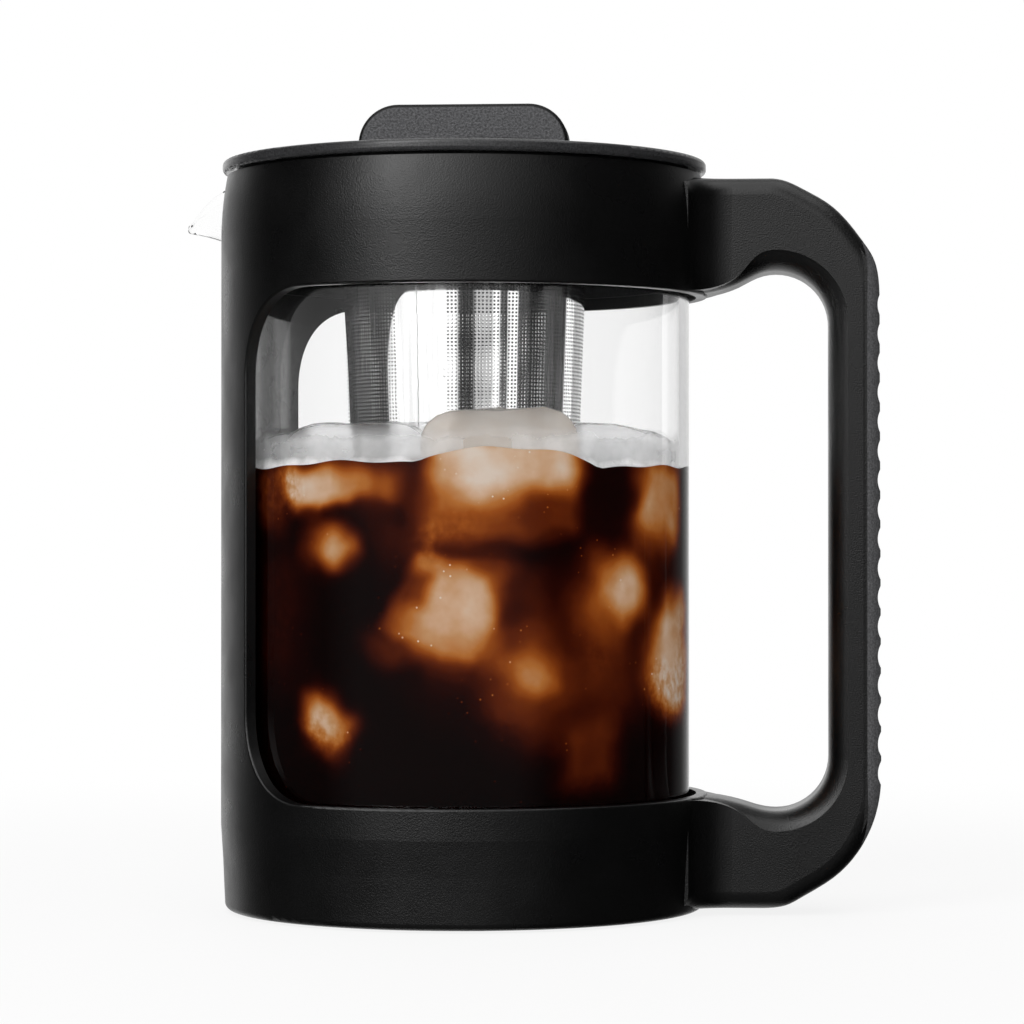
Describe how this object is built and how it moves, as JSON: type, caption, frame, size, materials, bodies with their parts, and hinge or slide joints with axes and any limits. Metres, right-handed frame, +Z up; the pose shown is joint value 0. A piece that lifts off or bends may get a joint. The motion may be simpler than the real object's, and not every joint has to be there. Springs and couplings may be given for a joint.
{
  "type": "cold brew coffee maker",
  "caption": "Cold brew coffee maker: a glass jug in a black plastic jacket with a ribbed handle, a pouring spout, a hanging steel filter and a lid with a turning knob.",
  "frame": {"origin": "on the resting plane, under the axis of the jug", "axes": "+Z up along the jug's axis, +X towards the handle, -X towards the spout"},
  "size_m": [0.1601, 0.112, 0.1853],
  "materials": {
    "jacket_plastic": "fine matte grain",
    "lid_plastic": "fine matte grain",
    "knob_plastic": "coarser matte grain",
    "inner_plastic": "satin",
    "grip_rubber": "soft touch",
    "silicone": "satin silicone",
    "clear_glass": "clear, polished",
    "filter_steel": "brushed",
    "polished_steel": "polished"
  },
  "bodies": {
    "frame": {"frame_shell": "jacket_plastic", "handle_grip": "grip_rubber", "foot_pad": "silicone", "base_cushion": "silicone", "neck_ring": "silicone"},
    "glass": {"glass_vessel": "clear_glass"},
    "filter": {"filter_collar": "inner_plastic", "collar_gasket": "silicone", "filter_tube": "filter_steel", "filter_rim": "polished_steel", "filter_base": "filter_steel"},
    "cap": {"filter_cap": "inner_plastic"},
    "lid": {"lid_cover": "lid_plastic", "lid_plug": "inner_plastic", "lid_seal": "silicone", "pour_strainer": "filter_steel"},
    "knob": {"knob_grip": "knob_plastic", "knob_o_ring": "silicone", "pour_shutter": "inner_plastic", "knob_washer": "polished_steel", "knob_screw": "polished_steel"}
  },
  "joints": [
    {"name": "glass_lift", "type": "slide", "parent": "frame", "child": "glass", "axis": [0, 0, 1], "range_m": [0, 0.18]},
    {"name": "filter_lift", "type": "slide", "parent": "glass", "child": "filter", "axis": [0, 0, 1], "range_m": [0, 0.15]},
    {"name": "cap_lift", "type": "slide", "parent": "filter", "child": "cap", "axis": [0, 0, 1], "range_m": [0, 0.03]},
    {"name": "lid_lift", "type": "slide", "parent": "cap", "child": "lid", "axis": [0, 0, 1], "range_m": [0, 0.03]},
    {"name": "knob_turn", "type": "hinge", "parent": "lid", "child": "knob", "pos_m": [0, 0, 0.1725], "axis": [0, 0, 1], "range_deg": [0, 90]}
  ]
}
